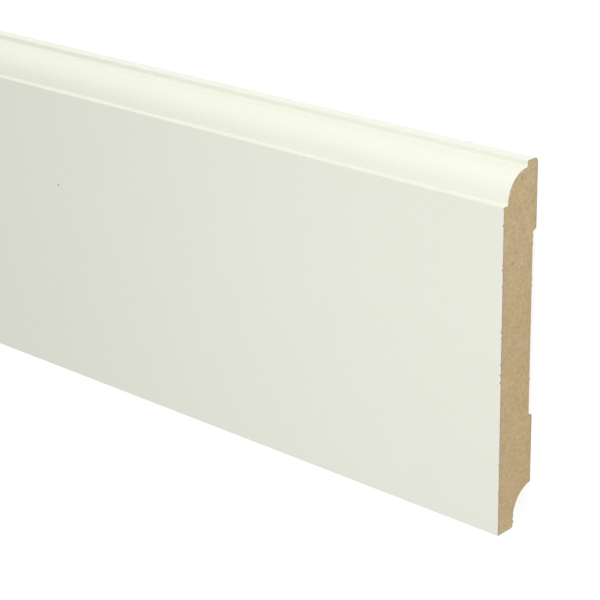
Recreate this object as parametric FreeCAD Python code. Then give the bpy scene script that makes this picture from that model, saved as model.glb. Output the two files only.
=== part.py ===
import FreeCAD, Part
import os
from math import hypot, sqrt

# A length of skirting board, lying face up on the two flat lands of its back.
# X runs along the length, +Y points to the moulded top edge, +Z out of the face.
# All sizes are in millimetres, and the lands lie on Z = 0.

# Overall sizes of the stock
length = 2400.0
height = 110.0
thickness = 15.0

# Moulded top edge, from the face towards the wall
step_drop = 10.7          # from the top edge down to the flat step in the face
step_width = 1.85         # how far the step goes back from the face
step_arris = 0.2          # eased edge between the face and the step
step_corner = 0.3         # small round where the step meets the moulding
ovolo_radius = 8.3        # the quarter round of the moulding
quirk_drop = 1.9          # from the top edge down to the crown of the ovolo
quirk_depth = 10.3        # from the face back to the upright behind that crown
quirk_corner = 0.6        # hollow round between the ovolo and the upright
ledge_arris = 0.3         # eased edge between that upright and the flat top
top_back_round = 1.5      # round between the flat top and the back

# Shallow relief cut into the back between the two lands
relief_depth = 1.5
upper_land = 20.4         # from the top edge down to the relief's upper shoulder
lower_land_top = 33.0     # from the toe up to the relief's lower shoulder
upper_shoulder = 0.8      # how far the upper shoulder slopes along the back
lower_shoulder = 0.4      # how far the lower shoulder slopes along the back

# Cable cove along the foot of the back
toe_thickness = 7.0       # what stands on the floor once fitted, under the face
toe_arris = 0.2           # eased edge between the toe and the face
toe_heel = 0.7            # round between the toe and the cove's wall
cove_radius = 9.2
cove_wall = 2.8           # straight wall of the cove below its round

# Directions in the section, as (depth, rise)
to_face = (-1, 0)
to_wall = (1, 0)
up = (0, 1)
down = (0, -1)


def at(depth, rise):
    """A point of the section: depth back from the face, rise above the toe."""
    return FreeCAD.Vector(0, rise - height / 2, thickness - depth)


def corner(depth, rise):
    """A sharp corner of the outline."""
    return [at(depth, rise)]


def rounded(depth, rise, radius, first, last):
    """A round about the centre given, from its first side to its last."""
    between = [a + b for a, b in zip(first, last)]
    middle = [part / hypot(*between) for part in between]
    return [at(depth + radius * way[0], rise + radius * way[1]) for way in (first, middle, last)]


def moulded_edge():
    """Step, ovolo, quirk and flat top, from the face to the back."""
    step = height - step_drop
    ovolo_depth = step_width + ovolo_radius
    ovolo_rise = height - quirk_drop - ovolo_radius
    hollow_depth = quirk_depth - quirk_corner
    apart = ovolo_radius + quirk_corner
    lean = (hollow_depth - ovolo_depth) / apart
    to_hollow = (lean, sqrt(1 - lean ** 2))
    to_ovolo = (-to_hollow[0], -to_hollow[1])
    hollow_rise = ovolo_rise + apart * to_hollow[1]
    return [
        rounded(step_arris, step - step_arris, step_arris, to_face, up),
        rounded(step_width - step_corner, step + step_corner, step_corner, down, to_wall),
        rounded(ovolo_depth, ovolo_rise, ovolo_radius, to_face, to_hollow),
        rounded(hollow_depth, hollow_rise, quirk_corner, to_ovolo, to_wall),
        rounded(quirk_depth + ledge_arris, height - ledge_arris, ledge_arris, to_face, up),
        rounded(thickness - top_back_round, height - top_back_round, top_back_round, up, to_wall),
    ]


def relieved_back():
    """The two shoulders of the relief, from the upper land to the lower."""
    relief = thickness - relief_depth
    upper_land_foot = height - upper_land
    return [
        corner(thickness, upper_land_foot),
        corner(relief, upper_land_foot - upper_shoulder),
        corner(relief, lower_land_top + lower_shoulder),
        corner(thickness, lower_land_top),
    ]


def cable_cove():
    """The round that runs from the lower land down to the cove's straight wall."""
    centre = toe_thickness + cove_radius
    reach = cove_radius / sqrt(2)
    top = cove_wall + sqrt(cove_radius ** 2 - (centre - thickness) ** 2)
    return [[at(thickness, top), at(centre - reach, cove_wall + reach), at(toe_thickness, cove_wall)]]


def toe():
    """The narrow foot under the face, with its rounded heel and its eased front edge."""
    return [
        rounded(toe_thickness - toe_heel, toe_heel, toe_heel, to_wall, down),
        rounded(toe_arris, toe_arris, toe_arris, down, to_face),
    ]


def outline(stations):
    """A closed wire through corners and rounds, with straight lines between them."""
    edges = []
    for station, after in zip(stations, stations[1:] + stations[:1]):
        if len(station) == 3:
            edges.append(Part.Arc(*station).toShape())
        if not station[-1].isEqual(after[0], 1e-6):
            edges.append(Part.LineSegment(station[-1], after[0]).toShape())
    return Part.Wire(edges)


def skirting_board():
    """The section, drawn out along the whole length and centred on it."""
    section = Part.Face(outline(moulded_edge() + relieved_back() + cable_cove() + toe()))
    section.translate(FreeCAD.Vector(-length / 2, 0, 0))
    return section.extrude(FreeCAD.Vector(length, 0, 0))


os.makedirs("parts", exist_ok=True)
board = skirting_board()
board.exportStep("parts/skirting_board.step")
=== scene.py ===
# %% [markdown]
# # A length of white skirting board
# Skirting is milled from a long strip of fibreboard: a cutter block runs along it and leaves the
# same section from end to end. It is then sprayed white on the sides that will be seen, and sawn
# square to length. So three things make the look: the milled section, the thin coat with its
# chipped edge at the saw cut, and the bare brown fibreboard of the ends and the back.
# The board lies on its back, as it is stored, and the camera looks down on it from past one end.

# %% Load the board as it was built
import math

import bpy
import numpy as np
from mathutils import Matrix, Vector


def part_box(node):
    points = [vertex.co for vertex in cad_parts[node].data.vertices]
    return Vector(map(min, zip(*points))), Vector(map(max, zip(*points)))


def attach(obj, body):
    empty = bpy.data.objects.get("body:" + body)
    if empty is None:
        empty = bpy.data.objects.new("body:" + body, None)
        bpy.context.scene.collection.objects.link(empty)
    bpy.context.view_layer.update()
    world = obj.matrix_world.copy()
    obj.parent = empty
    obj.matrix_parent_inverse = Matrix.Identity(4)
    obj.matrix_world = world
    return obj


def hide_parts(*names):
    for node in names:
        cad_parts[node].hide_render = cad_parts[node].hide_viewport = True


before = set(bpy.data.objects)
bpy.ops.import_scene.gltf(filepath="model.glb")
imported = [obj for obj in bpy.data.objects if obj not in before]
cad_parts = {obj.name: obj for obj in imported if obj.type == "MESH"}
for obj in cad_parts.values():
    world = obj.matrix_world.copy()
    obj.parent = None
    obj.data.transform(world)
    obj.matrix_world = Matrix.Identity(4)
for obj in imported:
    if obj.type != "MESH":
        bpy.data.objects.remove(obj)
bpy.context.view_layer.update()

MM = 0.001
board_low, board_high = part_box("skirting_board")
length, height, thickness = board_high - board_low
near_end = board_high.x
print("board, in mm:", [round(side / MM, 1) for side in (length, height, thickness)])

# %% [markdown]
# ## Helpers for node trees
# Both the shapes and the finishes below are node trees. Written out by hand, each node takes four
# or five lines, so `add` makes a node, sets its options and fills its inputs in one go. An input
# gets a plain value, or the output of an earlier node, which is then linked to it.

# %% Add a node to a tree, and start a tree with named inputs
def add(tree, kind, inputs=(), out=0, **options):
    """Add a node, fill its inputs by name or number, and return one of its outputs."""
    node = tree.nodes.new(kind)
    for option, value in options.items():
        setattr(node, option, value)
    for key, value in dict(inputs).items():
        if isinstance(value, bpy.types.NodeSocket):
            tree.links.new(value, node.inputs[key])
        else:
            node.inputs[key].default_value = value
    return node.outputs[out]


def start_tree(name, kind, inputs, outputs):
    """A new tree with its sockets. Returns the tree, its inputs to read and its outputs to fill."""
    tree = bpy.data.node_groups.new(name, kind)
    for way, sockets in (("INPUT", inputs), ("OUTPUT", outputs)):
        for label, socket_type, *value in sockets:
            socket = tree.interface.new_socket(label, in_out=way, socket_type=socket_type)
            if value:
                socket.default_value = value[0]
    entry = tree.nodes.new("NodeGroupInput")
    leave = tree.nodes.new("NodeGroupOutput")
    return tree, entry.outputs, leave.inputs


def calculate(tree, operation, a, b=0.0, c=0.0):
    """One sum on numbers, such as ADD, MULTIPLY or POWER."""
    return add(tree, "ShaderNodeMath", {0: a, 1: b, 2: c}, operation=operation)


def weigh(tree, *parts, start=0.0):
    """The start value plus each value times its weight."""
    total = start
    for value, weight in parts:
        total = calculate(tree, "MULTIPLY_ADD", value, weight, total)
    return total


def combine(tree, operation, a, b, c=(0, 0, 0)):
    """One sum on vectors."""
    return add(tree, "ShaderNodeVectorMath", {0: a, 1: b, 2: c}, operation=operation)


def split(tree, vector):
    """The three parts of a vector."""
    return add(tree, "ShaderNodeSeparateXYZ", {0: vector}).node.outputs


def ramp(tree, value, start, end, low=0.0, high=1.0):
    """Value eased from low to high as it goes from start to end."""
    return add(tree, "ShaderNodeMapRange", {0: value, 1: start, 2: end, 3: low, 4: high},
               interpolation_type="SMOOTHSTEP")


# %% [markdown]
# ## The milled section
# The section is drawn once, as (depth back from the face, rise above the toe), the way a moulding
# cutter is drawn. It starts under the toe, runs up the face, over the step, the quarter round and
# the flat top, then down the back past its two flat lands and the shallow relief between them,
# and ends in the cable cove. Rounds are true arcs, sampled finely enough to look smooth up close.

# %% Sizes of the section
toe_thickness, toe_arris, toe_heel = 7.0 * MM, 0.2 * MM, 0.7 * MM
step_drop, step_width = 10.7 * MM, 1.85 * MM
step_arris, step_corner = 0.2 * MM, 0.3 * MM
ovolo_radius, quirk_drop = 8.3 * MM, 1.9 * MM
quirk_depth, quirk_corner = 10.3 * MM, 0.6 * MM
ledge_arris, top_back_round = 0.3 * MM, 1.5 * MM
relief_depth, upper_land, lower_land_top = 1.5 * MM, 20.4 * MM, 33.0 * MM
upper_shoulder, lower_shoulder = 0.8 * MM, 0.4 * MM
cove_radius, cove_wall = 9.2 * MM, 2.8 * MM
to_face, to_wall, up, down = (-1, 0), (1, 0), (0, 1), (0, -1)
arc_step, least_arc_points = 0.12 * MM, 5


# %% Draw the section
def rounded(depth, rise, radius, first, last):
    """Points along a round about the centre given, from its first side to its last."""
    start = math.atan2(first[1], first[0])
    sweep = (math.atan2(last[1], last[0]) - start + math.pi) % (2 * math.pi) - math.pi
    count = max(least_arc_points, math.ceil(radius * abs(sweep) / arc_step))
    turns = start + np.linspace(0, sweep, count)
    return np.array([depth, rise]) + radius * np.stack([np.cos(turns), np.sin(turns)], axis=1)


def moulded_front():
    """From under the toe, up the face and over the moulded edge, to the back."""
    step = height - step_drop
    ovolo_depth, ovolo_rise = step_width + ovolo_radius, height - quirk_drop - ovolo_radius
    hollow_depth, apart = quirk_depth - quirk_corner, ovolo_radius + quirk_corner
    lean = (hollow_depth - ovolo_depth) / apart
    to_hollow = np.array([lean, math.sqrt(1 - lean ** 2)])
    hollow_rise = ovolo_rise + apart * to_hollow[1]
    return np.concatenate([
        rounded(toe_thickness - toe_heel, toe_heel, toe_heel, to_wall, down),
        rounded(toe_arris, toe_arris, toe_arris, down, to_face),
        rounded(step_arris, step - step_arris, step_arris, to_face, up),
        rounded(step_width - step_corner, step + step_corner, step_corner, down, to_wall),
        rounded(ovolo_depth, ovolo_rise, ovolo_radius, to_face, to_hollow),
        rounded(hollow_depth, hollow_rise, quirk_corner, -to_hollow, to_wall)[1:],
        rounded(quirk_depth + ledge_arris, height - ledge_arris, ledge_arris, to_face, up),
        rounded(thickness - top_back_round, height - top_back_round, top_back_round, up, to_wall),
    ])


def bare_back():
    """Down the back: the lands, the relief between them and the cable cove."""
    relief, upper_foot = thickness - relief_depth, height - upper_land
    centre = toe_thickness + cove_radius
    start = math.acos((centre - thickness) / cove_radius)
    turns = np.linspace(start, 0, math.ceil(cove_radius * start / arc_step))
    cove = np.array([centre, cove_wall]) + cove_radius * np.stack(
        [-np.cos(turns), np.sin(turns)], axis=1)
    return np.concatenate([[
        (thickness, upper_foot), (relief, upper_foot - upper_shoulder),
        (relief, lower_land_top + lower_shoulder), (thickness, lower_land_top)], cove])


front, back = moulded_front(), bare_back()
print("points in the section:", len(front) + len(back))

# %% [markdown]
# ## The coat and what lies under it
# A sprayed coat is a film under a fifth of a millimetre thick. Painting it on as a colour would
# do from afar, but at the saw cut its edge shows and small flakes have broken away. So the film
# is a piece of its own, and the fibreboard under it is that much smaller. The film thins out to
# nothing behind the toe and just past the round of the top edge, where the spray stopped.

# %% Work out the film's line and the fibreboard's line under it
film = 0.18 * MM               # thinner than the smallest rounds, or its under side would fold
film_least = 0.004 * MM
coat_past_top = 2.5 * MM       # how far the coat goes on down the back
coat_feather = 1.8 * MM        # length over which it thins out
coat_spacing = 0.16 * MM       # between points along the coated stretch


def along(points):
    """Distance of each point from the first, measured along the line."""
    return np.concatenate([[0], np.cumsum(np.linalg.norm(np.diff(points, axis=0), axis=1))])


def resample(points, spacing):
    """The same line with more points, evenly spaced between its own."""
    place = along(points)
    filled = [np.linspace(a, b, max(1, round((b - a) / spacing)), endpoint=False)
              for a, b in zip(place[:-1], place[1:])]
    filled = np.append(np.concatenate(filled), place[-1])
    return np.stack([np.interp(filled, place, points[:, k]) for k in (0, 1)], axis=1)


def outward_of(points):
    """Unit normals of the line, pointing out of the board."""
    place = along(points)
    run = np.stack([np.gradient(points[:, k], place) for k in (0, 1)], axis=1)
    normal = np.stack([-run[:, 1], run[:, 0]], axis=1)
    return normal / np.linalg.norm(normal, axis=1, keepdims=True)


coat_end = (thickness, height - top_back_round - coat_past_top)
coat_line = resample(np.append(front, [coat_end], axis=0), coat_spacing)
coat_out = outward_of(coat_line)
coat_place = along(coat_line)
fade = np.clip(np.minimum(coat_place, coat_place[-1] - coat_place) / coat_feather, 0, 1)
coat_film = np.maximum(film_least, film * fade * fade * (3 - 2 * fade))
core_line = np.concatenate([coat_line - coat_out * coat_film[:, None], back])
print("coated stretch, in mm:", round(coat_place[-1] / MM, 1), "with", len(coat_line), "points")


def on_board(points, x=0.0):
    """Section points as points of the board: depth turns into height above the floor."""
    depth, rise = np.asarray(points, float).reshape(-1, 2).T
    return np.stack([np.full(len(depth), x), rise - height / 2, thickness - depth], axis=1)


# %% [markdown]
# ## Line objects, and running a tree on them
# A Geometry Nodes tree starts from some geometry. Here that is a plain line of points: the
# section, or the coated stretch of it, with what each point knows about itself, such as the way
# out of the board, kept as a named attribute. `grow` runs a tree on such a line and keeps the
# result as an ordinary mesh, because only ordinary meshes are exported whole.

# %% Make a line object with attributes, and run a tree on an object
def line_object(name, points, closed=False, joined=True, **attributes):
    """A mesh of points joined in a line. Attributes hold one number or vector for each point."""
    count = len(points)
    edges = [(k, (k + 1) % count) for k in range(count if closed else count - 1)] if joined else []
    mesh = bpy.data.meshes.new(name)
    mesh.from_pydata([tuple(p) for p in points], edges, [])
    for label, values in attributes.items():
        values = np.asarray(values, np.float32)
        vector = values.ndim == 2
        layer = mesh.attributes.new(label, "FLOAT_VECTOR" if vector else "FLOAT", "POINT")
        layer.data.foreach_set("vector" if vector else "value", values.ravel())
    line = bpy.data.objects.new(name, mesh)
    bpy.context.scene.collection.objects.link(line)
    return line


workshop_marks = ("section_place", "outward", "film", "station", "cut_edge", "way", "reach")


def grow(start, tree, name, **values):
    """Run the tree on start with its named inputs set, and keep the result as a plain mesh."""
    modifier = start.modifiers.new(tree.name, "NODES")
    modifier.node_group = tree
    for socket in tree.interface.items_tree:
        label = socket.name.lower().replace(" ", "_")
        if socket.in_out == "INPUT" and label in values:
            modifier[socket.identifier] = values[label]
    depsgraph = bpy.context.evaluated_depsgraph_get()
    mesh = bpy.data.meshes.new_from_object(start.evaluated_get(depsgraph))
    bpy.data.objects.remove(start)
    mesh.name = name
    for label in [a.name for a in mesh.attributes if a.name in workshop_marks]:
        mesh.attributes.remove(mesh.attributes[label])
    piece = bpy.data.objects.new(name, mesh)
    bpy.context.scene.collection.objects.link(piece)
    mesh.calc_loop_triangles()
    print(name, "has", len(mesh.loop_triangles), "triangles")
    return piece

# %% [markdown]
# ## Shared marks in the fibreboard
# Fibreboard is wood ground to fibres, mixed with glue and pressed. Cut across, it shows a mottle
# of light and dark bundles under a millimetre across, redder and yellower patches drawn out
# through the thickness, and now and then a dark shive of bark or a pale straw. A photograph of the
# stuff could be wrapped round the board, but it would smear along the sides. The sawn ends and the
# back are cut through one solid, so one group of nodes draws these marks all through it, and each
# material takes them with its own strength. So they run on over the corners, as in real board.

# %% Build the group of fibreboard marks
def fibreboard_marks():
    """Masks that vary through the solid: tone, two hues, dark shives, pale straws and height."""
    number = "NodeSocketFloat"
    tree, given, made = start_tree(
        "fibreboard_marks", "ShaderNodeTree",
        [("Place", "NodeSocketVector"), ("Shive Size", number, 0.1), ("Straw Size", number, 0.15)],
        [("Tone", number), ("Warmth", number), ("Ochre", number), ("Shive", number),
         ("Straw", number), ("Height", number)])

    def noise(scale, detail, shift=0.0, drawn=(1, 1, 1)):
        """Soft noise, with the scale in patches to the metre, longer where drawn is under 1."""
        place = combine(tree, "ADD", given["Place"], (shift, shift, shift))
        return add(tree, "ShaderNodeTexNoise",
                   {"Vector": combine(tree, "MULTIPLY", place, drawn), "Scale": scale,
                    "Detail": detail, "Roughness": 0.6})

    def specks(scale, size, shift):
        """Round specks, one to a cell: a few fill that share of their cell, and most far less."""
        place = combine(tree, "ADD", given["Place"], (shift, shift, shift))
        cell = add(tree, "ShaderNodeTexVoronoi", {"Vector": place, "Scale": scale}).node.outputs
        chance = add(tree, "ShaderNodeSeparateColor", {0: cell["Color"]})
        edge = calculate(tree, "MULTIPLY", size, calculate(tree, "POWER", chance, 2.0))
        return ramp(tree, cell["Distance"], edge, calculate(tree, "MULTIPLY", edge, 0.5))

    clouds, bundles, threads = noise(200, 1), noise(840, 2), noise(3400, 2)
    shive, straw = specks(330, given["Shive Size"], 0.2), specks(600, given["Straw Size"], 0.4)
    tone = weigh(tree, (threads, 0.25), (bundles, 0.53), (clouds, 0.22))
    body = weigh(tree, (threads, 0.4), (bundles, 0.6))
    warmth, patches = noise(700, 1, 0.6, (1, 1.2, 0.36)), noise(620, 1, 0.8, (1, 1.2, 0.55))
    ochre = weigh(tree, (patches, 0.9), (noise(190, 1, 0.9), 0.45), start=-0.175)
    height = calculate(tree, "SUBTRACT", body, shive)
    for label, value in (("Tone", tone), ("Warmth", warmth), ("Ochre", ochre),
                         ("Shive", shive), ("Straw", straw), ("Height", height)):
        tree.links.new(value, made[label])
    return tree


marks = fibreboard_marks()
print("fibreboard marks:", len(marks.nodes), "nodes")

# %% [markdown]
# ## The two faces of bare fibreboard
# A saw leaves the ends furry and matt, with every bundle cut through. The cutter block leaves the
# back smoother and a shade darker, streaked along the run, with white mist from the spray gun just
# past the coat. Both are one recipe with other numbers, so one function makes them. It starts from
# the marks and adds what changes over a sawn end: the board is pressed greyer towards its back, its
# lower half has painted shade, a little browner and darker, primer has soaked in at the top and the
# toe, and the blade has smeared a little paint in from the face. A flat colour would miss all of
# that.

# %% Helpers for materials
def start_material(name):
    """A new material with its shader. Returns its tree, the shader's inputs and the place."""
    material = bpy.data.materials.new(name)
    material.use_nodes = True
    tree = material.node_tree
    place = add(tree, "ShaderNodeTexCoord", out=3)
    return material, tree, tree.nodes["Principled BSDF"].inputs, place


def blend_colours(tree, mask, low, high):
    """A colour going from low to high as the mask goes from 0 to 1."""
    return add(tree, "ShaderNodeMix", {0: mask, 6: low, 7: high}, 2, data_type="RGBA")


def rough_up(tree, shader, height, depth):
    """Let height, from 0 to 1, stand for a relief of that depth in metres."""
    bump = add(tree, "ShaderNodeBump", {"Height": height, "Distance": depth, "Strength": 1.0})
    tree.links.new(bump, shader["Normal"])


# %% Mix the bare fibreboard finishes
# Depth and rise above the toe of each shive that the near end shows, in mm
near_shives = [(7.8, 105.6), (13.0, 97.5), (6.0, 84.6), (4.3, 81.9), (7.6, 62.2), (10.4, 49.3),
               (5.9, 33.0)]
shive_radius = 0.58 * MM

# Each tint grows from nothing at its first place to its full strength at its second. These rises
# are counted from the middle of the board's height, and the lifts from the floor.
skin_lift, skin_strength = (1.5 * MM, 0.0), 0.2
# Painted shade: the board is made a little darker and browner below its middle, over these rises
lower_shade_rise, lower_shade_strength = (30 * MM, 5 * MM), 0.1
soaked_rises, soaked_strength = ((50.5 * MM, 54 * MM), (-53 * MM, -54.8 * MM)), 0.15
smear_rise, smear_lift = (40 * MM, 20 * MM), (thickness - 1.2 * MM, thickness - 0.3 * MM)
smear_strength = 0.13
mist_rise, mist_lift, mist_waver = (49.5 * MM, 54.5 * MM), (1.4 * MM, 0.2 * MM), 6 * MM
straw_strength, shive_strength, near_shive_strength = 0.7, 0.6, 0.72
hue_share, dull_share = 0.55, 0.5
fibre_shine, roughness_swing = 0.25, 0.06

fibre_dark, fibre_light = (0.415, 0.277, 0.139, 1), (0.734, 0.615, 0.386, 1)
fibre_red, fibre_green = (0.590, 0.382, 0.239, 1), (0.509, 0.455, 0.238, 1)
fibre_ochre, fibre_grey = (0.560, 0.416, 0.174, 1), (0.544, 0.424, 0.316, 1)
shive_brown, straw_pale = (0.225, 0.150, 0.062, 1), (0.700, 0.583, 0.389, 1)
skin_grey = (0.345, 0.316, 0.199, 1)
primer_soak, paint_dust = (0.52, 0.66, 0.55, 1), (0.85, 0.86, 0.76, 1)
# The first colour is painted shade for the lower half, the second a smear of paint
lower_shade_tan, paint_smear = (0.390, 0.250, 0.075, 1), (0.325, 0.265, 0.366, 1)


def near_to(tree, place, spot, radius):
    """1 close to the spot, easing from half the radius to 0 at the radius."""
    away = combine(tree, "SUBTRACT", place, spot)
    away = add(tree, "ShaderNodeVectorMath", {0: away}, 1, operation="LENGTH")
    return ramp(tree, away, radius, 0.5 * radius)


def bare_fibreboard(name, darker, stretch, relief, roughness, mist=False, shives=()):
    """Fibreboard as a tool left it, darkened a little, with its marks drawn out along X."""
    material, tree, shader, place = start_material(name)
    drawn = add(tree, "ShaderNodeMapping", {"Vector": place, "Scale": (stretch, 1, 1)})
    board = add(tree, "ShaderNodeGroup", {"Place": drawn}, node_tree=marks).node.outputs
    _, rise, lift = split(tree, place)

    def tinted(colour, hue, strength, value, start, full):
        """The colour with a hue in it, growing from nothing at start to its strength."""
        return blend_colours(tree, ramp(tree, value, start, full, 0.0, strength), colour, hue)

    body = blend_colours(tree, ramp(tree, board["Tone"], 0.29, 0.71), fibre_dark, fibre_light)
    warm = blend_colours(tree, ramp(tree, board["Warmth"], 0.3, 0.7), fibre_red, fibre_green)
    dull = blend_colours(tree, ramp(tree, board["Ochre"], 0.3, 0.7), fibre_ochre, fibre_grey)
    colour = blend_colours(tree, hue_share, body, blend_colours(tree, dull_share, warm, dull))
    straw = calculate(tree, "MULTIPLY", board["Straw"], straw_strength)
    colour = blend_colours(tree, straw, colour, straw_pale)
    dark = board["Shive"]
    for spot in on_board(np.array(shives) * MM, near_end) if shives else ():
        speck = near_to(tree, place, spot, shive_radius)
        speck = calculate(tree, "MULTIPLY", speck, near_shive_strength)
        dark = calculate(tree, "MAXIMUM", dark, speck)
    dark = calculate(tree, "MULTIPLY", dark, shive_strength)
    colour = blend_colours(tree, dark, colour, shive_brown)
    colour = blend_colours(tree, darker, colour, fibre_dark)
    colour = tinted(colour, skin_grey, skin_strength, lift, *skin_lift)
    # Painted shade: darker and browner over the lower half
    colour = tinted(colour, lower_shade_tan, lower_shade_strength, rise, *lower_shade_rise)
    for soaked_rise in soaked_rises:
        colour = tinted(colour, primer_soak, soaked_strength, rise, *soaked_rise)
    smeared = ramp(tree, rise, *smear_rise, 0.0, smear_strength)
    smeared = calculate(tree, "MULTIPLY", smeared, ramp(tree, lift, *smear_lift))
    colour = blend_colours(tree, smeared, colour, paint_smear)
    if mist:
        drift = add(tree, "ShaderNodeTexNoise", {"Vector": place, "Scale": 400, "Detail": 4})
        reach = ramp(tree, weigh(tree, (drift, mist_waver), start=rise), *mist_rise)
        misted = calculate(tree, "MULTIPLY", reach, ramp(tree, lift, *mist_lift))
        colour = blend_colours(tree, misted, colour, paint_dust)
    tree.links.new(colour, shader["Base Color"])
    tree.links.new(ramp(tree, board["Tone"], 0.2, 0.8, roughness - roughness_swing,
                        roughness + roughness_swing), shader["Roughness"])
    shader["Specular IOR Level"].default_value = fibre_shine
    rough_up(tree, shader, board["Height"], relief)
    return material


sawn = bare_fibreboard("sawn_fibreboard", 0.0, 1.0, 0.035 * MM, 0.9, shives=near_shives)
machined = bare_fibreboard("machined_fibreboard", 0.22, 0.3, 0.03 * MM, 0.78, mist=True)
print("bare finishes:", sawn.name, machined.name)

# %% [markdown]
# ## The white coat
# The coat is a satin water paint, a white with a touch of green and cream in it. Sprayed and dried
# flat, it is never quite smooth: it keeps a faint orange peel a millimetre or two across, and
# its gloss varies a little from place to place. One pinhole in the face lets the dark primer and
# fibre show. It is too small to model, so it is a mask round its measured place. Where the saw
# has cut the film its edge shows as a hair line: scorched red along the face, and plain tan over
# the moulding and at the toe, where the blade ran cleaner. So the cut edge has its own finish.

# %% Mix the white coat
pinhole = (1016.54 * MM, 12.00 * MM, 15.0 * MM)
pinhole_radius = 0.42 * MM
white_deep, white_pale = (0.790, 0.806, 0.700, 1), (0.804, 0.819, 0.715, 1)
rust_brown = (0.43, 0.17, 0.07, 1)
satin_roughness, peel_depth = (0.36, 0.44), 0.006 * MM


def satin_white():
    """Sprayed satin paint with orange peel, cloudy gloss and one pinhole."""
    material, tree, shader, place = start_material("satin_white_coat")
    clouds = add(tree, "ShaderNodeTexNoise", {"Vector": place, "Scale": 55, "Detail": 3})
    grain = add(tree, "ShaderNodeTexNoise", {"Vector": place, "Scale": 900, "Detail": 3})
    peel = add(tree, "ShaderNodeTexNoise", {"Vector": place, "Scale": 620, "Detail": 1.5})
    tone = weigh(tree, (grain, 0.7), (clouds, 0.3))
    colour = blend_colours(tree, ramp(tree, tone, 0.3, 0.7), white_deep, white_pale)
    hole = near_to(tree, place, pinhole, pinhole_radius)
    colour = blend_colours(tree, hole, colour, rust_brown)
    tree.links.new(colour, shader["Base Color"])
    tree.links.new(ramp(tree, clouds, 0.3, 0.7, *satin_roughness), shader["Roughness"])
    rough_up(tree, shader, calculate(tree, "SUBTRACT", peel, hole), peel_depth)
    return material


scorched_deep, scorched_pale = (0.28, 0.11, 0.19, 1), (0.50, 0.24, 0.36, 1)
scorched_upper, clean_tan = (0.515, 0.235, 0.300, 1), (0.50, 0.38, 0.27, 1)
upper_rise, clean_top, clean_toe = (25 * MM, 42 * MM), (42 * MM, 54 * MM), (-54.6 * MM, -54.9 * MM)
edge_roughness, edge_tear = (0.75, 0.9), 0.03 * MM


def sawn_edge():
    """The film's cut edge: scorched red along the face, plain tan at the moulding and the toe."""
    material, tree, shader, place = start_material("sawn_coat_edge")
    smear = add(tree, "ShaderNodeTexNoise", {"Vector": place, "Scale": 1100, "Detail": 3})
    colour = blend_colours(tree, ramp(tree, smear, 0.35, 0.65), scorched_deep, scorched_pale)
    _, rise, _ = split(tree, place)
    colour = blend_colours(tree, ramp(tree, rise, *upper_rise), colour, scorched_upper)
    clean = calculate(tree, "ADD", ramp(tree, rise, *clean_top), ramp(tree, rise, *clean_toe))
    colour = blend_colours(tree, clean, colour, clean_tan)
    tree.links.new(colour, shader["Base Color"])
    tree.links.new(ramp(tree, smear, 0.3, 0.7, *edge_roughness), shader["Roughness"])
    rough_up(tree, shader, smear, edge_tear)
    return material


coat_finish, cut_finish = satin_white(), sawn_edge()
print("coat:", coat_finish.name, "and its cut edge:", cut_finish.name)

# %% [markdown]
# ## Saw the fibreboard off its section
# The core could be made by copying the section to both ends and bridging them by hand. A node tree
# does the same from the drawn line: it lays the line flat, fills it, pulls it out by the length
# and turns it along X. Its two sawn faces get the furry finish and its sides the machined one.

# %% Shared steps of the shape trees
seam_gap = 0.0005 * MM         # points nearer than this become one


def join(tree, x, y, z):
    """A vector from three numbers."""
    return add(tree, "ShaderNodeCombineXYZ", {0: x, 1: y, 2: z})


def move_to(tree, geometry, place):
    """Put every point at the place worked out for it."""
    return add(tree, "GeometryNodeSetPosition", {"Geometry": geometry, "Position": place})


def join_closed(tree, *shells):
    """Join shells that meet at their rims, and close the seams."""
    both = tree.nodes.new("GeometryNodeJoinGeometry")
    for shell in shells:
        tree.links.new(shell, both.inputs[0])
    return add(tree, "GeometryNodeMergeByDistance",
               {"Geometry": both.outputs[0], "Distance": seam_gap})


def smooth_over(tree, geometry, crease=math.radians(32)):
    """Smooth over shallow edges and keep the others crisp."""
    angle = add(tree, "GeometryNodeInputMeshEdgeAngle")
    smooth = add(tree, "FunctionNodeCompare", {0: angle, 1: crease}, operation="LESS_THAN")
    faces = add(tree, "GeometryNodeSetShadeSmooth", {"Geometry": geometry, "Shade Smooth": True})
    return add(tree, "GeometryNodeSetShadeSmooth",
               {"Geometry": faces, "Shade Smooth": smooth}, domain="EDGE")


def facing_along(tree):
    """True for the faces that look along the board, which are the sawn ones."""
    x, _, _ = split(tree, add(tree, "GeometryNodeInputNormal"))
    return calculate(tree, "GREATER_THAN", calculate(tree, "ABSOLUTE", x), 0.9)


def dress(tree, geometry, finish, made, chosen=None, other_finish=None):
    """Realize what is repeated, give it its finish, or another where chosen, and hand it out."""
    real = add(tree, "GeometryNodeRealizeInstances", {"Geometry": geometry})
    dressed = add(tree, "GeometryNodeSetMaterial", {"Geometry": real, "Material": finish})
    if chosen is not None:
        dressed = add(tree, "GeometryNodeSetMaterial",
                      {"Geometry": dressed, "Selection": chosen, "Material": other_finish})
    tree.links.new(dressed, made[0])


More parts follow.
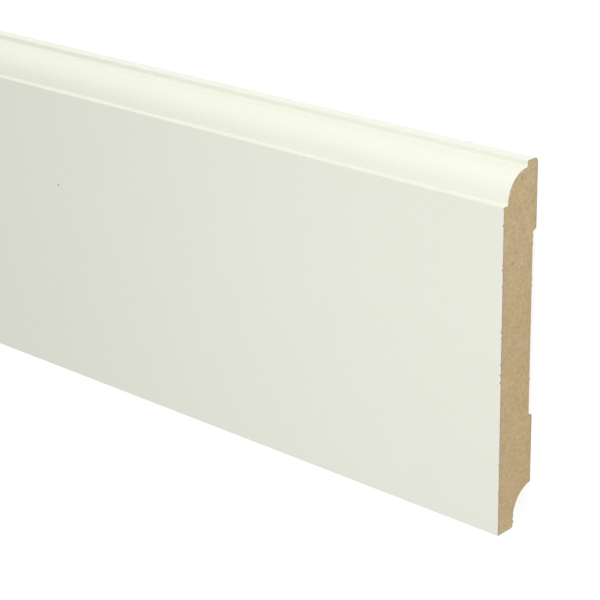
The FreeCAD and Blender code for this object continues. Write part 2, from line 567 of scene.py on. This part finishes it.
# %% Build the tree that makes a length from a section
def length_tree():
    """Fill a closed line in the YZ plane and pull it out along X, centred on the origin."""
    tree, given, made = start_tree(
        "length_from_section", "GeometryNodeTree",
        [("Section", "NodeSocketGeometry"), ("Length", "NodeSocketFloat", 1.0),
         ("Side Finish", "NodeSocketMaterial"), ("End Finish", "NodeSocketMaterial")],
        [("Board", "NodeSocketGeometry")])

    # Lay the section flat, because only a flat curve can be filled, and pull it up by the length
    line = add(tree, "GeometryNodeMeshToCurve", {"Mesh": given["Section"]})
    _, across, lift = split(tree, add(tree, "GeometryNodeInputPosition"))
    flat = move_to(tree, line, join(tree, across, lift, 0.0))
    face = add(tree, "GeometryNodeFillCurve", {"Curve": flat})
    pulled = add(tree, "GeometryNodeExtrudeMesh",
                 {"Mesh": face, "Offset Scale": given["Length"], "Individual": False})
    solid = join_closed(tree, pulled, add(tree, "GeometryNodeFlipFaces", {"Mesh": face}))

    # Lay the length down along X, with its middle at the origin
    across, lift, run = split(tree, add(tree, "GeometryNodeInputPosition"))
    centred = weigh(tree, (given["Length"], -0.5), start=run)
    lying = move_to(tree, solid, join(tree, centred, across, lift))
    dress(tree, smooth_over(tree, lying), given["Side Finish"], made, facing_along(tree),
          given["End Finish"])
    return tree


length_from_section = length_tree()
print("tree for a length:", len(length_from_section.nodes), "nodes")

# %% Saw the fibreboard core
fuzz_room = 0.06 * MM          # left at each cut for the torn fibres
core_section = line_object("core_section", on_board(core_line), closed=True)
fibreboard = grow(core_section, length_from_section, "fibreboard", side_finish=machined,
                  length=length - 2 * fuzz_room, end_finish=sawn)

# %% [markdown]
# ## Spray the coat, and chip it at the saw cuts
# The coat follows the section from end to end, so the coated line is swept along a rail. Most of
# the rail's stations crowd near the two ends, because that is where the film changes: the saw tears
# its edge back by a few hundredths of a millimetre everywhere, and by up to half a millimetre
# where a flake has gone. The chips of the near end are placed by their height on the board as the
# photograph shows them. The far end is out of view and gets its own, drawn at random.

# %% Place the chips
# Rise above the toe, reach back from the cut and half the width of each chip, in mm
near_chips = [(98.9, 0.14, 0.35), (94.1, 0.30, 0.36), (82.7, 0.22, 0.30), (81.2, 0.30, 0.36),
              (76.4, 0.18, 0.28), (63.1, 0.32, 0.38), (61.0, 0.20, 0.28), (56.0, 0.20, 0.28),
              (53.4, 0.30, 0.36), (50.2, 0.32, 0.38), (47.8, 0.30, 0.36), (22.4, 0.22, 0.28),
              (13.6, 0.22, 0.28)]
draw = np.random.default_rng(11)
far_chips = [(rise, draw.uniform(0.2, 0.5), draw.uniform(0.28, 0.45))
             for rise in draw.uniform(6, 98, 12)]


def chip_places(chips, x):
    """The chips as points on the face's edge at x, with their reach and half width."""
    rises, reaches, widths = np.array(chips).T * MM
    return on_board(np.stack([np.zeros(len(rises)), rises], axis=1), x), reaches, widths


near, far = chip_places(near_chips, near_end), chip_places(far_chips, -near_end)
chip_marks = line_object("chip_marks", np.concatenate([near[0], far[0]]), joined=False,
                         reach=np.concatenate([near[1], far[1]]),
                         width=np.concatenate([near[2], far[2]]))
print("chips:", len(near_chips), "at the near end,", len(far_chips), "at the far end")

# %% Work out how far the coat has come back from the cut
flake_wander = 0.5 * MM        # so that a flake's outline is ragged


def read(tree, name, kind="FLOAT"):
    """A named attribute of the geometry at hand."""
    return add(tree, "GeometryNodeInputNamedAttribute", {"Name": name}, data_type=kind)


def chipped_back(tree, given, corner):
    """How far the coat has come back from the cut at this corner of the board."""
    marks_here = add(tree, "GeometryNodeObjectInfo", {"Object": given["Chips"]}, out=4)
    wander = add(tree, "ShaderNodeTexNoise", {"Vector": corner, "Scale": 2600.0}, out=1)
    wander = combine(tree, "SUBTRACT", wander, (0.5, 0.5, 0.5))
    spot = combine(tree, "MULTIPLY_ADD", wander, (flake_wander,) * 3, corner)
    index = add(tree, "GeometryNodeSampleNearest",
                {"Geometry": marks_here, "Sample Position": spot})

    def of_chip(value, kind="FLOAT"):
        """What the nearest chip has for this value."""
        return add(tree, "GeometryNodeSampleIndex",
                   {"Geometry": marks_here, "Value": value, "Index": index}, data_type=kind)

    centre = of_chip(add(tree, "GeometryNodeInputPosition"), "FLOAT_VECTOR")
    away = add(tree, "ShaderNodeVectorMath", {0: spot, 1: centre}, 1, operation="DISTANCE")
    width = of_chip(read(tree, "width"))
    flake = ramp(tree, away, width, calculate(tree, "MULTIPLY", width, 0.55))
    torn = add(tree, "ShaderNodeTexNoise", {"Vector": corner, "Scale": 5200.0, "Detail": 2.0})
    torn = calculate(tree, "MULTIPLY", torn, given["Tear"])
    return weigh(tree, (flake, of_chip(read(tree, "reach"))), start=torn)


# %% Build the tree that sprays the coat
def coat_tree():
    """Sweep the coated line along the stations, tear its ends back, and give it thickness."""
    tree, given, made = start_tree(
        "sprayed_coat", "GeometryNodeTree",
        [("Section", "NodeSocketGeometry"), ("Stations", "NodeSocketObject"),
         ("Chips", "NodeSocketObject"), ("Half Length", "NodeSocketFloat", 1.0),
         ("Band", "NodeSocketFloat", 0.002), ("Tear", "NodeSocketFloat", 0.0),
         ("Finish", "NodeSocketMaterial"), ("Cut Finish", "NodeSocketMaterial")],
        [("Coat", "NodeSocketGeometry")])

    # Sweep the section along the rail
    rail = add(tree, "GeometryNodeObjectInfo", {"Object": given["Stations"]}, out=4)
    swept = add(tree, "GeometryNodeCurveToMesh", {
        "Curve": add(tree, "GeometryNodeMeshToCurve", {"Mesh": rail}),
        "Profile Curve": add(tree, "GeometryNodeMeshToCurve", {"Mesh": given["Section"]})})

    # Draw both ends back from the cut, most where a flake has gone
    station, half = read(tree, "station"), given["Half Length"]
    _, across, lift = split(tree, read(tree, "section_place", "FLOAT_VECTOR"))
    side = calculate(tree, "SIGN", station)
    from_cut = calculate(tree, "SUBTRACT", half, calculate(tree, "ABSOLUTE", station))
    corner = join(tree, calculate(tree, "MULTIPLY", side, half), across, lift)
    hold = add(tree, "ShaderNodeMapRange", {0: from_cut, 1: 0.0, 2: given["Band"], 3: 1.0, 4: 0.0})
    hold = calculate(tree, "POWER", hold, 2.0)
    from_cut = weigh(tree, (chipped_back(tree, given, corner), hold), start=from_cut)
    x = calculate(tree, "MULTIPLY", side, calculate(tree, "SUBTRACT", half, from_cut))
    laid = move_to(tree, swept, join(tree, x, across, lift))

    # Turn the swept skin outwards, and push a copy of it in by the film's thickness
    skin = add(tree, "GeometryNodeFlipFaces", {"Mesh": laid})
    under = add(tree, "GeometryNodeExtrudeMesh",
                {"Mesh": laid, "Offset Scale": 0.0, "Individual": False})
    inward = add(tree, "ShaderNodeVectorMath",
                 {0: read(tree, "outward", "FLOAT_VECTOR"),
                  "Scale": calculate(tree, "MULTIPLY", read(tree, "film"), -1.0)},
                 operation="SCALE")
    pulled = under.node.outputs
    under = add(tree, "GeometryNodeStoreNamedAttribute",
                {"Geometry": under, "Name": "cut_edge", "Value": pulled["Side"]},
                data_type="BOOLEAN", domain="FACE")
    under = add(tree, "GeometryNodeSetPosition",
                {"Geometry": under, "Selection": pulled["Top"], "Offset": inward})
    coat = smooth_over(tree, join_closed(tree, skin, under))
    dress(tree, coat, given["Finish"], made, read(tree, "cut_edge", "BOOLEAN"),
          given["Cut Finish"])
    return tree


sprayed_coat = coat_tree()
print("tree for the coat:", len(sprayed_coat.nodes), "nodes")

# %% Spray the coat
chip_band = 2.0 * MM           # the film is drawn back over this length at each cut
half_length = length / 2
crowd = chip_band * np.linspace(0, 1, 8) ** 1.5
ends = half_length - crowd
between = np.linspace(-ends[-1], ends[-1], 12)[1:-1]
stations = np.concatenate([-ends, between, ends[::-1]])
rail_points = np.stack([stations, 0 * stations, 0 * stations], axis=1)
coat_rail = line_object("coat_rail", rail_points, station=stations)
coat_places = on_board(coat_line)
coat_ways = on_board(coat_out) - on_board([(0, 0)])
coat_section = line_object("coat_section", coat_places, section_place=coat_places,
                           outward=coat_ways, film=coat_film)
white_coat = grow(coat_section, sprayed_coat, "white_coat", stations=coat_rail, chips=chip_marks,
                  half_length=half_length, band=chip_band, tear=0.05 * MM, finish=coat_finish,
                  cut_finish=cut_finish)
for helper in (coat_rail, chip_marks):
    bpy.data.objects.remove(helper)

# %% [markdown]
# ## Torn fibres
# A saw does not cut every fibre: some are pulled loose and stay lying on the sawn face, and in a
# few places a tuft sticks out past the back. They are far too small to see one by one, but they
# break up the light on the end and roughen its outline. Hair strands would draw them too, but the
# export keeps only meshes. So each is a bowed three-sided thread, and a tree scatters threads over
# the sawn faces, shorter near the outline so that none pokes out of it.

# %% Grow a fibre, and plant fibres on points
fibre_taper, fibre_curl = 0.7, 2.6


def one_fibre(tree, bow):
    """A bowed, tapered, three-sided thread of unit length and thickness, standing on the origin."""
    line = add(tree, "GeometryNodeCurvePrimitiveLine", {"Start": (0, 0, 0), "End": (0, 0, 1)})
    line = add(tree, "GeometryNodeResampleCurve", {"Curve": line, "Count": 5})
    taper = weigh(tree, (add(tree, "GeometryNodeSplineParameter"), -fibre_taper), start=1.0)
    ring = add(tree, "GeometryNodeCurvePrimitiveCircle", {"Resolution": 3, "Radius": 0.5})
    thread = add(tree, "GeometryNodeCurveToMesh",
                 {"Curve": line, "Profile Curve": ring, "Scale": taper, "Fill Caps": True})
    _, _, along_it = split(tree, add(tree, "GeometryNodeInputPosition"))
    bend = calculate(tree, "SINE", calculate(tree, "MULTIPLY", along_it, fibre_curl))
    bend = calculate(tree, "MULTIPLY", bend, bow)
    return add(tree, "GeometryNodeSetPosition",
               {"Geometry": thread, "Offset": join(tree, bend, 0.0, 0.0)})


def random_between(tree, low, high, seed):
    """A random number for each point."""
    return add(tree, "FunctionNodeRandomValue", {2: low, 3: high, "Seed": seed}, out=1)


def plant(tree, points, way, long, thick, bow, seed):
    """Stand a fibre on each point, along its way, bowed by so many times its thickness."""
    upright = add(tree, "FunctionNodeAlignRotationToVector", {"Vector": way}, axis="Z")
    roll = add(tree, "FunctionNodeAxisAngleToRotation",
               {"Axis": (0.0, 0.0, 1.0), "Angle": random_between(tree, 0.0, math.tau, seed)})
    turned = add(tree, "FunctionNodeRotateRotation",
                 {"Rotation": upright, "Rotate By": roll}, rotation_space="LOCAL")
    return add(tree, "GeometryNodeInstanceOnPoints",
               {"Points": points, "Instance": one_fibre(tree, bow), "Rotation": turned,
                "Scale": join(tree, thick, thick, long)})


def keep_inside(tree, geometry, low, high):
    """Push back whatever has grown out of the board's own box."""
    real = add(tree, "GeometryNodeRealizeInstances", {"Geometry": geometry})
    place = add(tree, "GeometryNodeInputPosition")
    held = combine(tree, "MINIMUM", combine(tree, "MAXIMUM", place, low), high)
    return move_to(tree, real, held)


# %% Build the tree that scatters torn fibres on the sawn faces
def fuzz_tree():
    """Scatter fibres lying on the sawn faces of a board that runs along X."""
    tree, given, made = start_tree(
        "sawn_fuzz", "GeometryNodeTree",
        [("Board", "NodeSocketGeometry"), ("Density", "NodeSocketFloat", 1.0),
         ("Longest", "NodeSocketFloat", 0.001), ("Thickness", "NodeSocketFloat", 0.00005),
         ("Lean", "NodeSocketFloat", 0.05), ("Low", "NodeSocketVector"),
         ("High", "NodeSocketVector"), ("Seed", "NodeSocketInt", 5),
         ("Finish", "NodeSocketMaterial")],
        [("Fuzz", "NodeSocketGeometry")])
    cut = add(tree, "GeometryNodeSeparateGeometry",
              {"Geometry": given["Board"], "Selection": facing_along(tree)}, domain="FACE")
    rim = add(tree, "GeometryNodeMeshToCurve", {"Mesh": cut, "Selection": calculate(
        tree, "LESS_THAN", add(tree, "GeometryNodeInputMeshEdgeNeighbors"), 1.5)})
    scattered = add(tree, "GeometryNodeDistributePointsOnFaces",
                    {"Mesh": cut, "Density": given["Density"], "Seed": given["Seed"]})
    side, _, _ = split(tree, scattered.node.outputs["Normal"])
    spin = random_between(tree, 0.0, math.tau, 21)
    lean = calculate(tree, "MULTIPLY", random_between(tree, 0.0, 1.0, 22), given["Lean"])
    way = join(tree, calculate(tree, "MULTIPLY", side, lean), calculate(tree, "COSINE", spin),
               calculate(tree, "SINE", spin))
    thick = calculate(tree, "MULTIPLY", random_between(tree, 0.5, 1.0, 23), given["Thickness"])
    rim = add(tree, "GeometryNodeCurveToMesh", {"Curve": rim})
    to_rim = add(tree, "GeometryNodeProximity", {0: rim}, 1, target_element="EDGES")
    drawn = calculate(tree, "MULTIPLY", random_between(tree, 0.3, 1.0, 24), given["Longest"])
    long = calculate(tree, "MINIMUM", drawn, calculate(tree, "MULTIPLY", to_rim, 0.85))
    fibres = plant(tree, scattered, way, long, thick, 0.6, 25)
    held = keep_inside(tree, fibres, given["Low"], given["High"])
    dress(tree, held, given["Finish"], made)
    return tree


sawn_fuzz = fuzz_tree()
print("tree for the fuzz:", len(sawn_fuzz.nodes), "nodes")

# %% Scatter the fuzz on both sawn ends
fuzz_density = 400000.0        # fibres to the square metre of cut
bare_copy = fibreboard.copy()
bpy.context.scene.collection.objects.link(bare_copy)
saw_fuzz = grow(bare_copy, sawn_fuzz, "saw_fuzz", density=fuzz_density, longest=0.8 * MM,
                thickness=0.05 * MM, lean=0.05, low=board_low, high=board_high, seed=5,
                finish=sawn)

# %% Choose the points of the tufts
# Depth, rise above the toe and reach past the back of each burr, in mm
burrs = [(13.55, 87.3, 0.5), (13.5, 85.2, 0.25), (7.05, 1.9, 0.45), (7.15, 3.6, 0.25),
         (13.5, 75.1, 0.25), (13.5, 72.9, 0.22), (13.5, 62.0, 0.22), (13.5, 44.5, 0.25)]
tuft_spread, tuft_tilt = 0.12 * MM, 0.55


def tuft_points(x, seed, each=9):
    """Points round each burr, with the way out of the back and the length of each fibre."""
    draw = np.random.default_rng(seed)
    places, ways, reaches = [], [], []
    for depth, rise, reach in np.array(burrs) * MM:
        spread = draw.normal(0, tuft_spread, (each, 2)) * (0.3, 1.0)
        places.append(on_board(np.array([depth, rise]) + spread, x))
        ways.append(draw.normal(0, tuft_tilt, (each, 3)) * (0.25, 1, 1) + (0, 0, -1))
        reaches.append(reach * draw.uniform(0.5, 1.0, each))
    return np.concatenate(places), np.concatenate(ways), np.concatenate(reaches)


cut_plane = near_end - fuzz_room
both_ends = zip(tuft_points(cut_plane, 41), tuft_points(-cut_plane, 42))
tuft_places, tuft_ways, tuft_reaches = (np.concatenate(parts) for parts in both_ends)
print("torn fibres in tufts:", len(tuft_places))


# %% Build the tree that plants tufts, and plant them where the saw broke out
def tuft_tree():
    """Stand a fibre on each given point, along its own way."""
    tree, given, made = start_tree(
        "torn_tufts", "GeometryNodeTree",
        [("Points", "NodeSocketGeometry"), ("Thickness", "NodeSocketFloat", 0.0001),
         ("Low", "NodeSocketVector"), ("High", "NodeSocketVector"),
         ("Finish", "NodeSocketMaterial")],
        [("Tufts", "NodeSocketGeometry")])
    thick = calculate(tree, "MULTIPLY", random_between(tree, 0.6, 1.2, 31), given["Thickness"])
    fibres = plant(tree, given["Points"], read(tree, "way", "FLOAT_VECTOR"), read(tree, "reach"),
                   thick, 2.0, 32)
    held = keep_inside(tree, fibres, given["Low"], given["High"])
    dress(tree, held, given["Finish"], made)
    return tree


tuft_start = line_object("tuft_start", tuft_places, joined=False, way=tuft_ways,
                         reach=tuft_reaches)
torn_tufts = grow(tuft_start, tuft_tree(), "torn_tufts", thickness=0.2 * MM, low=board_low,
                  high=board_high, finish=sawn)

# %% [markdown]
# ## Hand the pieces to the frame
# All of it is one board, so every piece rides on the board's one body. The fibreboard stands for
# the whole built board; the coat and the torn fibres are its surface.

# %% Attach the pieces
for piece in (fibreboard, white_coat, saw_fuzz, torn_tufts):
    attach(piece, "root")
    print(piece.name, "rides on the root")
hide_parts("skirting_board")

# %% [markdown]
# ## Floor and light
# The photograph has a pure white ground, and light that is soft but not even: the face is a touch
# brighter by the sawn end than 200 mm away, and the moulded top edge, which faces a window or a
# softbox, is brighter still. So there is a plain sky all round, one wide soft lamp from the side
# of the moulded edge, one nearer softbox over the sawn end, and a long one over the rest of the
# board. The floor looks white to the camera but still lights the board as a pale floor would, and
# keeps a trace of the board's shadow.

# %% Lay the floor
floor_reach = 40.0
floor_grey, floor_glow, floor_catch = 0.8, 0.89, 0.17


def seen_directly(tree):
    """1 for rays that come from the camera, a mirror or clear glass, and 0 for all others."""
    path = add(tree, "ShaderNodeLightPath").node.outputs
    seen = calculate(tree, "MAXIMUM", path["Is Camera Ray"], path["Is Glossy Ray"])
    return calculate(tree, "MAXIMUM", seen, path["Is Transmission Ray"])


def mix_shaders(tree, mask, first, second):
    """The first shader where the mask is 0 and the second where it is 1."""
    return add(tree, "ShaderNodeMixShader", {0: mask, 1: first, 2: second})


def pale_floor():
    """White to the eye, pale to the light it bounces, and clear from below."""
    material = bpy.data.materials.new("pale_floor")
    material.use_nodes = True
    tree = material.node_tree
    output = tree.nodes["Material Output"]
    tree.nodes.remove(tree.nodes["Principled BSDF"])
    bounce = add(tree, "ShaderNodeBsdfDiffuse", {"Color": (floor_grey,) * 3 + (1,)})
    glow = add(tree, "ShaderNodeEmission", {"Color": (1, 1, 1, 1), "Strength": floor_glow})
    shadowed = add(tree, "ShaderNodeBsdfDiffuse", {"Color": (floor_catch,) * 3 + (1,)})
    white = add(tree, "ShaderNodeAddShader", {0: glow, 1: shadowed})
    top = mix_shaders(tree, seen_directly(tree), bounce, white)
    behind = add(tree, "ShaderNodeNewGeometry").node.outputs["Backfacing"]
    both = mix_shaders(tree, behind, top, add(tree, "ShaderNodeBsdfTransparent"))
    tree.links.new(both, output.inputs["Surface"])
    return material


floor_mesh = bpy.data.meshes.new("floor")
floor_mesh.from_pydata([(-floor_reach, -floor_reach, 0), (floor_reach, -floor_reach, 0),
                        (floor_reach, floor_reach, 0), (-floor_reach, floor_reach, 0)],
                       [], [(0, 1, 2, 3)])
floor_mesh.materials.append(pale_floor())
floor = bpy.data.objects.new("floor", floor_mesh)
bpy.context.scene.collection.objects.link(floor)
print("floor reaches, in m:", floor_reach)

# %% Set the light
sky_level = 0.56
world = bpy.data.worlds.new("studio")
world.use_nodes = True
bpy.context.scene.world = world
sky = world.node_tree
soft_sky = add(sky, "ShaderNodeBackground", {"Color": (1, 1, 1, 1), "Strength": sky_level})
white_sky = add(sky, "ShaderNodeBackground", {"Color": (1, 1, 1, 1), "Strength": 1.0})
sky.links.new(mix_shaders(sky, seen_directly(sky), soft_sky, white_sky),
              sky.nodes["World Output"].inputs["Surface"])


def lamp(name, kind, power, place, aim, **settings):
    """A lamp that shines from its place towards its aim, and is not seen itself."""
    light = bpy.data.lights.new(name, kind)
    light.energy = power
    for setting, value in settings.items():
        setattr(light, setting, value)
    holder = bpy.data.objects.new(name, light)
    turn = (Vector(aim) - Vector(place)).to_track_quat("-Z", "Y")
    holder.matrix_world = Matrix.Translation(place) @ turn.to_matrix().to_4x4()
    holder.visible_camera = False
    bpy.context.scene.collection.objects.link(holder)
    print(name, "has a power of", round(power, 3))


# A level is how bright the lamp alone would make a white sheet that faces it
side_level, end_level, row_level = 0.568, 0.35, 0.18
side_place, side_spread = (0.44, 0.87, 0.20), 0.6
end_height, end_width = 0.295, 0.20
row_height, row_width, row_length = 0.40, 0.25, 1.85
end_place = Vector((1.213, 0.034, thickness + end_height))
row_place = Vector((-0.400, 0.0, thickness + row_height))
straight_down = Vector((0, 0, -1))
lamp("side_light", "SUN", side_level * math.pi, side_place, (0, 0, 0), angle=side_spread)
lamp("end_softbox", "AREA", end_level * (math.pi * end_height) ** 2, end_place,
     end_place + straight_down, shape="DISK", size=end_width)
lamp("row_softbox", "AREA", row_level * 2 * math.pi * row_length * row_height, row_place,
     row_place + straight_down, shape="RECTANGLE", size=row_length, size_y=row_width)

# %% [markdown]
# ## Camera
# The place of the camera was worked out from the photograph: the corners of the sawn end and the
# long edges of the board, whose sizes are known, can only look as they do from one place through
# one lens. It stands about 0.6 m from the board, past the sawn end and above the moulded edge.
# The picture's up is the board's +Y, but for a small roll.

# %% Stand the camera where the photographer stood
camera_data = bpy.data.cameras.new("camera")
camera_data.lens, camera_data.sensor_width = 122.48, 36.0
camera_data.clip_start, camera_data.clip_end = 0.05, 200.0
camera = bpy.data.objects.new("camera", camera_data)
bpy.context.scene.collection.objects.link(camera)
stand = Vector((1.51184, 0.22411, 0.43126))
aim = Vector((1.12465, -0.00146, 0.015))
roll = math.radians(-1.16)
forward = (aim - stand).normalized()
board_up = Vector((0, 1, 0))
level = forward.cross(board_up).normalized()
upright = level.cross(forward)
right = level * math.cos(roll) + upright * math.sin(roll)
top = upright * math.cos(roll) - level * math.sin(roll)
turn = Matrix((right, top, -forward)).transposed()
camera.matrix_world = Matrix.Translation(stand) @ turn.to_4x4()
bpy.context.scene.camera = camera
bpy.context.scene.view_settings.view_transform = "Standard"
print("camera to board, in m:", round((aim - stand).length, 3))
